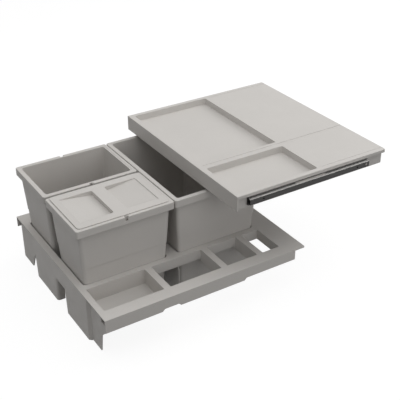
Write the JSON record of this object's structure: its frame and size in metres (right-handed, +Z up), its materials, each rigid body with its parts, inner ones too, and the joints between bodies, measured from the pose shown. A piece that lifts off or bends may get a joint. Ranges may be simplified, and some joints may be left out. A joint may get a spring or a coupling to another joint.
{
  "type": "built-in waste bin",
  "caption": "Built-in drawer waste bin: an insert frame with trays and legs, lift-out bins, a drop-in lid with finger scoops, and a tray-topped cover on ball slides.",
  "frame": {"origin": "on the drawer floor, under the middle of the whole part's footprint", "axes": "+X along the cover's slides, to the side that the cover has moved to; +Y away from the tray side; +Z up"},
  "size_m": [0.7186, 0.4884, 0.2975],
  "materials": {
    "grey_plastic": "fine matte texture",
    "dark_steel": "dark satin coating",
    "cage_plastic": "smooth",
    "ball_steel": "polished",
    "screw_steel": "zinc plated"
  },
  "bodies": {
    "insert": {"insert_frame": "grey_plastic", "cabinet_rail_front": "dark_steel", "channel_stop_front": "cage_plastic", "cabinet_rail_rear": "dark_steel", "channel_stop_rear": "cage_plastic"},
    "cover": {"cover_panel": "grey_plastic", "cover_channel_front": "dark_steel", "channel_screws_front": "screw_steel", "cover_channel_rear": "dark_steel", "channel_screws_rear": "screw_steel"},
    "cages_front": {"ball_cage_front_upper": "cage_plastic", "balls_front_upper": "ball_steel", "ball_cage_front_lower": "cage_plastic", "balls_front_lower": "ball_steel"},
    "cages_rear": {"ball_cage_rear_upper": "cage_plastic", "balls_rear_upper": "ball_steel", "ball_cage_rear_lower": "cage_plastic", "balls_rear_lower": "ball_steel"},
    "front_bin": {"bin_front": "grey_plastic"},
    "back_bin": {"bin_back": "grey_plastic"},
    "large_bin": {"bin_large": "grey_plastic"},
    "lid": {"bin_lid": "grey_plastic"}
  },
  "joints": [
    {"name": "cover_slide", "type": "slide", "parent": "insert", "child": "cover", "axis": [1, 0, 0], "range_m": [-0.24, 0]},
    {"name": "cages_front_slide", "type": "slide", "parent": "insert", "child": "cages_front", "axis": [1, 0, 0], "range_m": [-0.12, 0]},
    {"name": "cages_rear_slide", "type": "slide", "parent": "insert", "child": "cages_rear", "axis": [1, 0, 0], "range_m": [-0.12, 0]},
    {"name": "front_bin_lift", "type": "slide", "parent": "insert", "child": "front_bin", "axis": [0, 0, 1], "range_m": [0, 0.27]},
    {"name": "back_bin_lift", "type": "slide", "parent": "insert", "child": "back_bin", "axis": [0, 0, 1], "range_m": [0, 0.27]},
    {"name": "large_bin_lift", "type": "slide", "parent": "insert", "child": "large_bin", "axis": [0, 0, 1], "range_m": [0, 0.007]},
    {"name": "lid_lift", "type": "slide", "parent": "front_bin", "child": "lid", "axis": [0, 0, 1], "range_m": [0, 0.08]}
  ],
  "couplings": [
    {"joint": "cages_front_slide", "follows": "cover_slide", "ratio": 0.5},
    {"joint": "cages_rear_slide", "follows": "cover_slide", "ratio": 0.5}
  ]
}
